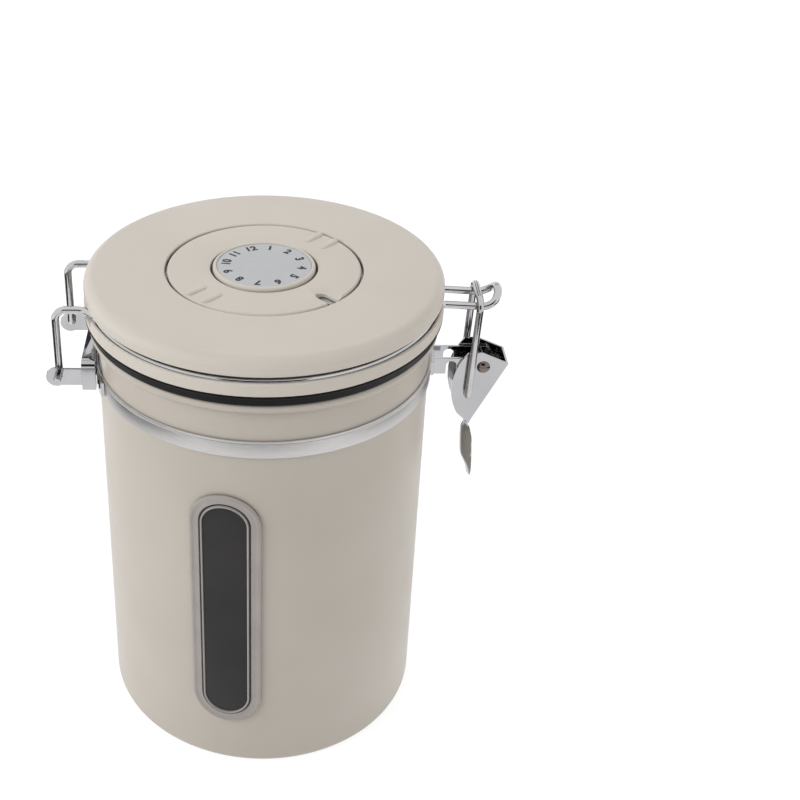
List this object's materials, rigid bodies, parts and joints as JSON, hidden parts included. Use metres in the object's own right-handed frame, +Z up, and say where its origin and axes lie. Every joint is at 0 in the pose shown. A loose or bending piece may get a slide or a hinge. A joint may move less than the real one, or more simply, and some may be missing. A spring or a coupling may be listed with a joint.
{
  "type": "coffee canister",
  "caption": "Round steel food canister with a side window, a hinged lid with a swing latch, and a date dial over a gas valve.",
  "frame": {"origin": "on the can's axis at the table plane, in the middle of its flat base", "axes": "+Z up along the can's axis, +X towards the latch, -X towards the hinge, the window faces near -Y"},
  "size_m": [0.1683, 0.13, 0.1864],
  "materials": {
    "can_paint": "satin",
    "frame_plastic": "satin",
    "smoke_pane": "clear",
    "black_rubber": "matte",
    "band_steel": "satin",
    "chrome": "polished",
    "wire_steel": "polished",
    "lid_plastic": "satin",
    "black_silicone": "matte",
    "scale_metal": "satin",
    "label_foil": "satin",
    "screw_steel": "satin",
    "valve_plastic": "satin",
    "valve_silicone": "matte"
  },
  "bodies": {
    "can": {"can_body": "can_paint", "window_bezel": "frame_plastic", "window_pane": "smoke_pane", "window_seal": "black_rubber", "window_retainer": "frame_plastic", "neck_band": "band_steel", "hinge_bracket": "chrome", "latch_bracket": "chrome", "latch_rivet": "chrome"},
    "lid": {"lid_cover": "lid_plastic", "lid_base": "lid_plastic", "lid_gasket": "black_silicone", "lid_bail": "wire_steel", "date_scale": "scale_metal", "valve_seat": "valve_plastic", "valve_guard": "valve_plastic"},
    "date_ring": {"date_ring": "lid_plastic"},
    "month_dial": {"month_dial": "lid_plastic", "dial_label": "label_foil", "dial_washer": "screw_steel", "dial_screw": "screw_steel"},
    "valve_disc": {"valve_disc": "valve_silicone"},
    "latch_lever": {"latch_lever": "chrome"},
    "latch_link": {"latch_link": "wire_steel"}
  },
  "joints": [
    {"name": "lid_hinge", "type": "hinge", "parent": "can", "child": "lid", "pos_m": [-0.0736, 0, 0.15125], "axis": [0, -1, 0], "range_deg": [0, 190]},
    {"name": "latch_lever", "type": "hinge", "parent": "can", "child": "latch_lever", "pos_m": [0.0811, 0, 0.1469], "axis": [0, -1, 0], "range_deg": [0, 140], "deforming": ["latch_link"]},
    {"name": "latch_link", "type": "hinge", "parent": "latch_lever", "child": "latch_link", "pos_m": [0.07589, 0, 0.13532], "axis": [0, -1, 0], "range_deg": [-98, 0]},
    {"name": "date_ring", "type": "hinge", "parent": "lid", "child": "date_ring", "pos_m": [0, 0, 0.1821], "axis": [0, 0, 1], "continuous": true},
    {"name": "month_dial", "type": "hinge", "parent": "lid", "child": "month_dial", "pos_m": [0, 0, 0.1836], "axis": [0, 0, 1], "continuous": true},
    {"name": "valve_lift", "type": "slide", "parent": "lid", "child": "valve_disc", "axis": [0, 0, 1], "range_m": [0, 0.0006], "stiffness_N_per_m": 40}
  ],
  "couplings": [
    {"joint": "latch_link", "follows": "latch_lever", "ratio": -0.69}
  ]
}
